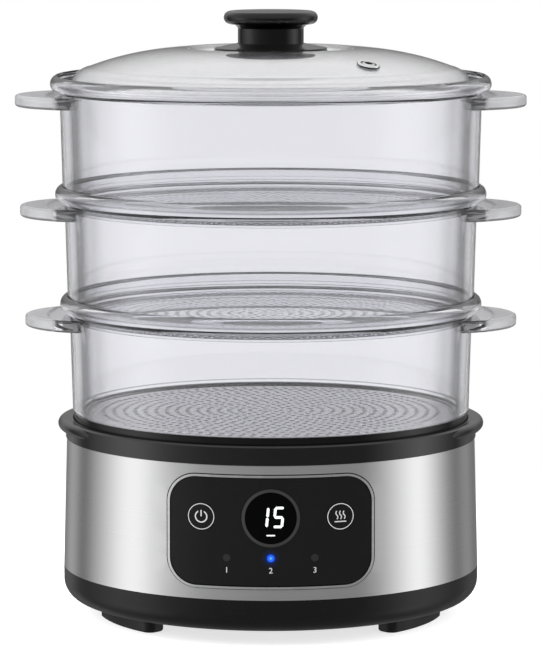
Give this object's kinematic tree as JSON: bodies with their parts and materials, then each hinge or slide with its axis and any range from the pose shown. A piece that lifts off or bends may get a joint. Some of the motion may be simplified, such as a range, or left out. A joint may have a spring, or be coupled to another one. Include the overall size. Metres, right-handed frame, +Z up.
{
  "type": "electric food steamer",
  "caption": "Stacked food steamer: round heated base with control panel, nesting clear baskets with side handles, domed lid with a knob.",
  "frame": {"origin": "middle of the base on the plane that the feet stand on", "axes": "+Z up, the control panel faces -Y, +X to the right of someone facing the panel"},
  "size_m": [0.3204, 0.2762, 0.3795],
  "materials": {
    "clear_plastic": "polished clear plastic",
    "black_plastic": "satin",
    "gloss_black": "high gloss",
    "knob_black": "semi-gloss",
    "brushed_steel": "vertically shaded brushed",
    "bright_trim": "bright",
    "ring_grey": "satin",
    "chrome": "polished",
    "pale_washer": "matt",
    "rubber_grey": "matt",
    "rubber_black": "matt",
    "stainless": "satin",
    "cast_aluminium": "as cast",
    "steel_fastener": "zinc plated",
    "board_green": "solder resist",
    "component_black": "moulded",
    "light_clear": "smoked light pipe",
    "light_blue": "lit light pipe",
    "reservoir_plastic": "smooth"
  },
  "bodies": {
    "base": {"lower_housing": "black_plastic", "steel_band": "brushed_steel", "bottom_cover": "black_plastic", "bottom_screws": "steel_fastener", "foot_front_left": "rubber_black", "foot_front_right": "rubber_black", "foot_back_left": "rubber_black", "foot_back_right": "rubber_black", "base_collar": "black_plastic", "water_reservoir": "reservoir_plastic", "reservoir_gasket": "rubber_grey", "heater_plate": "stainless", "heater_seal": "rubber_grey", "heater_element": "cast_aluminium", "thermostat": "steel_fastener", "thermal_fuse": "steel_fastener", "panel_bezel": "bright_trim", "panel_fascia": "gloss_black", "display_ring": "ring_grey", "display_lens": "gloss_black", "display_module": "component_black", "light_low": "light_clear", "light_medium": "light_blue", "light_high": "light_clear", "power_switch": "component_black", "steam_switch": "component_black", "control_board": "board_green", "board_screws": "steel_fastener", "power_board": "board_green", "power_board_screws": "steel_fastener", "power_relay": "component_black", "cord_gland": "rubber_black"},
    "drip_tray": {"drip_tray": "black_plastic"},
    "tier_1": {"tier_1_basket": "clear_plastic", "tier_1_floor": "clear_plastic"},
    "tier_2": {"tier_2_basket": "clear_plastic", "tier_2_floor": "clear_plastic"},
    "tier_3": {"tier_3_basket": "clear_plastic", "tier_3_floor": "clear_plastic"},
    "lid": {"lid_dome": "clear_plastic", "steam_vent": "chrome", "knob_flange": "knob_black", "lid_knob": "knob_black", "knob_washer": "pale_washer", "knob_screw": "steel_fastener"},
    "power_button": {"power_button": "gloss_black"},
    "steam_button": {"steam_button": "gloss_black"}
  },
  "joints": [
    {"name": "drip_tray_lift", "type": "slide", "parent": "base", "child": "drip_tray", "axis": [0, 0, 1], "range_m": [0, 0.06]},
    {"name": "tier_1_lift", "type": "slide", "parent": "drip_tray", "child": "tier_1", "axis": [0, 0, 1], "range_m": [0, 0.1]},
    {"name": "tier_2_lift", "type": "slide", "parent": "tier_1", "child": "tier_2", "axis": [0, 0, 1], "range_m": [0, 0.1]},
    {"name": "tier_3_lift", "type": "slide", "parent": "tier_2", "child": "tier_3", "axis": [0, 0, 1], "range_m": [0, 0.1]},
    {"name": "lid_lift", "type": "slide", "parent": "tier_3", "child": "lid", "axis": [0, 0, 1], "range_m": [0, 0.15]},
    {"name": "power_button_press", "type": "slide", "parent": "base", "child": "power_button", "axis": [0, 1, 0], "range_m": [0, 0.0006], "stiffness_N_per_m": 800},
    {"name": "steam_button_press", "type": "slide", "parent": "base", "child": "steam_button", "axis": [0, 1, 0], "range_m": [0, 0.0006], "stiffness_N_per_m": 800}
  ]
}
